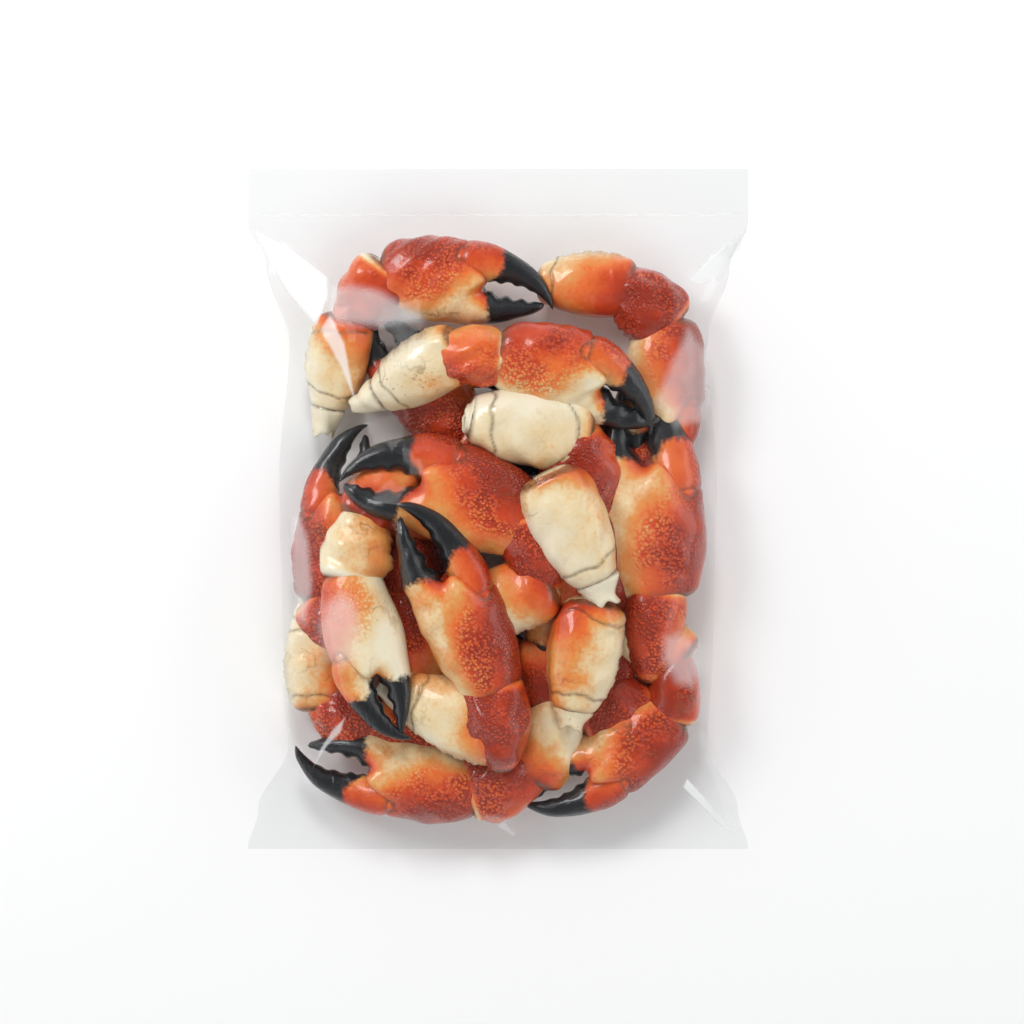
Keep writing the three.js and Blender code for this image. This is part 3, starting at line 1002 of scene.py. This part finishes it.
def crease_height(x, y):
    """How high the creases hold the film: zero away from them."""
    height = np.zeros_like(x)
    for start, end in CREASES:
        a, b = np.array(start) * MM, np.array(end) * MM
        run = b[:2] - a[:2]
        t = np.clip(((x - a[0]) * run[0] + (y - a[1]) * run[1]) / (run @ run), 0, 1)
        away = np.hypot(x - a[0] - t * run[0], y - a[1] - t * run[1])
        held_at = np.where(away < CREASE_REACH * MM, a[2] + t * (b[2] - a[2]), 0)
        height = np.maximum(height, held_at)
    return height


print(len(CREASES), "creases")

# %% Let the film down
DROP_FROM = 0.2
DOWN = Vector((0, 0, -1))
CLEARANCE = 0.0006


def heap_tree():
    """One search tree over every claw's faces."""
    corners, faces = [], []
    for claw in claws:
        start = len(corners)
        corners += [v.co.copy() for v in claw.data.vertices]
        faces += [[start + i for i in polygon.vertices] for polygon in claw.data.polygons]
    return BVHTree.FromPolygons(corners, faces)


def landing(tree, x, y):
    """Where something let down at x and y lands, or nothing where it meets no face."""
    return tree.ray_cast(Vector((x, y, DROP_FROM)), DOWN)[0]


heap = heap_tree()
print("the heap is", round(landing(heap, 0, 0).z / MM, 1), "mm high at the bag's middle")

# %% Drape the film
BAG_HALF_LENGTH = 0.153
HEADER = 0.0215
FOOT = 0.004
SEAL_HEIGHT = 0.0003
SIDE_FOLD = 0.007
FOLD_RISE = 0.02
FOLD_SHARPNESS = 12
SIDE_EDGE = 0.999
ACROSS, ALONG = 150, 204
DRAPE_ROUNDS = 500


def drape(tree):
    """The bag's grid: x, y, and the upper and the lower film's height at each point."""
    across = np.sin(np.linspace(-1, 1, ACROSS + 1) * math.pi / 2)[:, None]
    share = np.linspace(0, 1, ALONG + 1)
    y = (share * 2 - 1)[None, :] * BAG_HALF_LENGTH + 0 * across
    x = across * eased(HALF_WIDTHS, share)[None, :] * MM
    lowest = np.zeros_like(x)
    for i in range(x.shape[0]):
        for j in range(x.shape[1]):
            hit = landing(tree, x[i, j], y[i, j])
            lowest[i, j] = hit.z + CLEARANCE if hit else 0
    from_seals = np.minimum(y + BAG_HALF_LENGTH - FOOT, BAG_HALF_LENGTH - HEADER - y)
    lowest = np.where(from_seals > 0, np.maximum(lowest, crease_height(x, y)), 0)
    fold = SIDE_FOLD * smoothstep(0, FOLD_RISE, from_seals)
    rest = fold + SEAL_HEIGHT
    held = (from_seals <= 0) | (np.abs(across) > SIDE_EDGE)
    upper = np.maximum(lowest, rest)
    for _ in range(DRAPE_ROUNDS):
        sides = upper[2:, 1:-1] + upper[:-2, 1:-1] + upper[1:-1, 2:] + upper[1:-1, :-2]
        pulled = upper.copy()
        pulled[1:-1, 1:-1] = sides / 4
        upper = np.where(held, rest, np.maximum(pulled, lowest))
    lower = fold * np.abs(across) ** FOLD_SHARPNESS
    return x, y, upper, lower


def film_mesh(x, y, upper, lower):
    """Two grids from the grid operator, moved onto the heights and bridged round the edge."""
    bm = bmesh.new()
    for _ in range(2):
        bmesh.ops.create_grid(bm, x_segments=ACROSS, y_segments=ALONG, size=1)
    bm.verts.ensure_lookup_table()
    count = (ACROSS + 1) * (ALONG + 1)
    for k, z in enumerate((upper, lower)):
        for v in bm.verts[k * count : (k + 1) * count]:
            i = round((v.co.x + 1) / 2 * ACROSS)
            j = round((v.co.y + 1) / 2 * ALONG)
            v.co = (x[i, j], y[i, j], z[i, j])
    rim = [e for e in bm.edges if e.is_boundary]
    bmesh.ops.bridge_loops(bm, edges=rim)
    bmesh.ops.recalc_face_normals(bm, faces=bm.faces)
    mesh = bpy.data.meshes.new("film")
    bm.to_mesh(mesh)
    bm.free()
    mesh.polygons.foreach_set("use_smooth", [True] * len(mesh.polygons))
    return mesh


film = bpy.data.objects.new("film", film_mesh(*drape(heap)))
bpy.context.scene.collection.objects.link(film)
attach(film, "root")
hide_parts("bag_of_claws")
print("film", len(film.data.polygons), "faces")

# %% [markdown]
# ## Painted glare and the seal line
#
# The bright streaks and soft sheens where the film's creases and flanks catch the lamps are
# painted reflections: white patches laid on the film. The heat seal across the header is one more
# white patch, a real line of the bag. They could be painted into the film's own material, but each
# one is a thin patch of its own: a filled outline, cut small and let down onto the film. Each
# vertex keeps how white it is, and the white fades in from the outline, because a hard edge all
# round would look like broken glass.

# %% Outlines of the painted glare and the seal line
# Each patch: how white it is, how many millimetres its edge takes to fade in, and its corners in
# millimetres. All but the thin strip across the header are painted reflections of the lamps.
GLARE_AND_SEAL_PATCHES = [
    # Painted glare: streaks and veils where the film's corners and creases catch the lamps.
    (0.75, 1.5, [(-111, 127), (-93, 117), (-75, 103), (-75, 93), (-80, 80), (-88, 89), (-95, 98),
                 (-103, 112)]),
    (0.55, 1.5, [(-79, 79), (-74, 87), (-67, 73), (-61, 41), (-70, 63)]),
    (0.34, 5.0, [(-77, 100), (-64, 101), (-51, 98), (-33, 87), (-29, 81), (-52, 78), (-76, 81)]),
    (0.65, 1.5, [(112, 127), (97, 115), (83, 101), (89, 99), (100, 103), (109, 117)]),
    (0.3, 5.0, [(84, 84), (75, 66), (67, 47), (78, 34), (93, 37), (98, 53), (95, 71)]),
    (0.9, 1.0, [(109, -149), (99, -137), (92, -128), (84, -119), (82, -124), (89, -131), (97, -140)]),
    (0.25, 4.0, [(104, -146), (91, -112), (86, -98), (92, -96), (98, -106), (107, -128), (110, -146)]),
    (0.5, 1.2, [(-66, -90), (-69, -99), (-75, -105), (-83, -117), (-79, -106), (-73, -97)]),
    (0.4, 1.5, [(-2, -141), (3, -138), (9, -146), (7, -148)]),
    # The heat seal across the header, a real white line and not painted glare.
    (0.3, 0.5, [(-111, 131.6), (-111, 132.9), (111, 132.9), (111, 131.6)]),
    # Painted sheens: soft reflections of the lamps in the film over the claws.
    (0.34, 8.0, [(-69, -32), (-78, -40), (-82, -52), (-78, -66), (-68, -74), (-59, -66), (-56, -52),
                 (-60, -38)]),
    (0.32, 4.0, [(-93, -4), (-87, 0), (-82, -14), (-80, -34), (-84, -54), (-90, -50), (-93, -28)]),
    (0.32, 6.0, [(71, -54), (81, -52), (91, -58), (93, -72), (87, -82), (77, -79), (70, -67)]),
]
PATCH_CUTS = 11
print(len(GLARE_AND_SEAL_PATCHES), "pleats to lay on the film")

# %% Patches of painted glare and the seal line


def edge_distance(x, y, outline):
    """How far a point lies from the nearest side of an outline."""
    nearest = math.inf
    for a, b in zip(outline, outline[1:] + outline[:1]):
        run = (b[0] - a[0], b[1] - a[1])
        t = ((x - a[0]) * run[0] + (y - a[1]) * run[1]) / (run[0] ** 2 + run[1] ** 2)
        t = min(max(t, 0), 1)
        nearest = min(nearest, math.hypot(x - a[0] - t * run[0], y - a[1] - t * run[1]))
    return nearest


def glare_and_seal_patch(number, whiteness, fade, outline, tree):
    """Painted glare or the seal, in white, fading in over fade millimetres from its outline."""
    bm = bmesh.new()
    bmesh.ops.create_circle(bm, cap_ends=True, segments=len(outline), radius=1)
    for v, (x, y) in zip(bm.verts, outline):
        v.co = (x * MM, y * MM, 0)
    bmesh.ops.triangulate(bm, faces=bm.faces)
    bmesh.ops.subdivide_edges(bm, edges=bm.edges, cuts=PATCH_CUTS, use_grid_fill=True)
    glare_and_seal_alpha = []
    for v in bm.verts:
        hit = landing(tree, v.co.x, v.co.y)
        v.co.z = (hit.z if hit else 0) + CLEARANCE
        inside = edge_distance(v.co.x / MM, v.co.y / MM, outline)
        glare_and_seal_alpha.append(whiteness * float(smoothstep(0, fade, inside)))
    bmesh.ops.recalc_face_normals(bm, faces=bm.faces)
    mesh = bpy.data.meshes.new(f"pleat_{number}")
    bm.to_mesh(mesh)
    bm.free()
    mesh.attributes.new("glare_and_seal_alpha", "FLOAT", "POINT").data.foreach_set("value", glare_and_seal_alpha)
    mesh.polygons.foreach_set("use_smooth", [True] * len(mesh.polygons))
    made = bpy.data.objects.new(mesh.name, mesh)
    bpy.context.scene.collection.objects.link(made)
    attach(made, "root")
    return made


film_bm = bmesh.new()
film_bm.from_mesh(film.data)
film_tree = BVHTree.FromBMesh(film_bm)
film_bm.free()
glare_and_seal_patches = [glare_and_seal_patch(number, *row, film_tree) for number, row in enumerate(GLARE_AND_SEAL_PATCHES)]
print(len(glare_and_seal_patches), "pleats,", sum(len(made.data.polygons) for made in glare_and_seal_patches), "faces")

# %% [markdown]
# ## The film's material
#
# Clear film bends light too little to see, so glass would be wasted on it. A transparent shader
# mixed with a glossy one is enough, and the Fresnel node says how much of each: more mirror where
# we look along the film. Seen from inside, the film's back faces are given the inverse of its
# index, or they would mirror everything in a low view. Both film materials show themselves to the
# camera alone. To every other ray they aren't there, so the film casts no shadow, and the claws
# don't mirror it.

# %% Clear film
FILM_IOR = 1.2
# The clear film's tint is its own grey and also a painted shade for the shadow that the film doesn't
# cast on what lies under it.
FILM_GREY_AND_SHADE = (0.94, 0.945, 0.945, 1)
FILM_ROUGHNESS = 0.05
RIPPLES = 90
RIPPLE_HEIGHT = 0.00018


def seen_by_camera(tree, looks):
    """Shows a shader to the camera alone and lets every other ray pass."""
    rays = tree.nodes.new("ShaderNodeLightPath")
    unseen = node(tree, "ShaderNodeBsdfTransparent", Color=(1, 1, 1, 1))
    mixer = tree.nodes.new("ShaderNodeMixShader")
    tree.links.new(rays.outputs["Is Camera Ray"], mixer.inputs[0])
    tree.links.new(unseen.outputs[0], mixer.inputs[1])
    tree.links.new(looks.outputs[0], mixer.inputs[2])
    tree.links.new(mixer.outputs[0], tree.nodes["Material Output"].inputs["Surface"])


def film_material():
    material = bpy.data.materials.new("clear_film")
    material.use_nodes = True
    tree = material.node_tree
    tree.nodes.remove(tree.nodes["Principled BSDF"])
    position = tree.nodes.new("ShaderNodeTexCoord").outputs["Object"]
    ripples = node(tree, "ShaderNodeBump", Strength=1.0, Distance=RIPPLE_HEIGHT)
    tree.links.new(noise(tree, position, RIPPLES, 1), ripples.inputs["Height"])
    # Everything seen through the film darkens: the film's own grey and the painted shade.
    clear = node(tree, "ShaderNodeBsdfTransparent", Color=FILM_GREY_AND_SHADE)
    shine = node(tree, "ShaderNodeBsdfGlossy", Color=(1, 1, 1, 1), Roughness=FILM_ROUGHNESS)
    tree.links.new(ripples.outputs[0], shine.inputs["Normal"])
    fresnel = node(tree, "ShaderNodeFresnel", IOR=FILM_IOR)
    backface = tree.nodes.new("ShaderNodeNewGeometry").outputs["Backfacing"]
    from_inside = math_node(tree, "MULTIPLY_ADD", backface, 1 / FILM_IOR - FILM_IOR, FILM_IOR)
    tree.links.new(from_inside, fresnel.inputs["IOR"])
    seen = tree.nodes.new("ShaderNodeMixShader")
    tree.links.new(fresnel.outputs[0], seen.inputs[0])
    tree.links.new(clear.outputs[0], seen.inputs[1])
    tree.links.new(shine.outputs[0], seen.inputs[2])
    seen_by_camera(tree, seen)
    return material


film.data.materials.append(film_material())
print("clear film on", film.name)

# %% White of the painted glare and the seal line
# The painted glare is a plain white that the lamps light, standing in for a reflection.
GLARE_AND_SEAL_COLOUR = (0.86, 0.87, 0.87)
GLARE_AND_SEAL_ROUGHNESS = 0.6


def glare_and_seal_material():
    """Plain white for painted glare and the seal, letting the film show through where it is fainter."""
    material = plain_material("glare_and_seal_white", GLARE_AND_SEAL_COLOUR, GLARE_AND_SEAL_ROUGHNESS)
    tree = material.node_tree
    shader = tree.nodes["Principled BSDF"]
    shader.inputs["Specular IOR Level"].default_value = 0
    tree.links.new(read_attribute(tree, "glare_and_seal_alpha")["Fac"], shader.inputs["Alpha"])
    seen_by_camera(tree, shader)
    return material


glare_and_seal_look = glare_and_seal_material()
for made in glare_and_seal_patches:
    made.data.materials.append(glare_and_seal_look)
print("milky film on", len(glare_and_seal_patches), "glare_and_seal_patches")
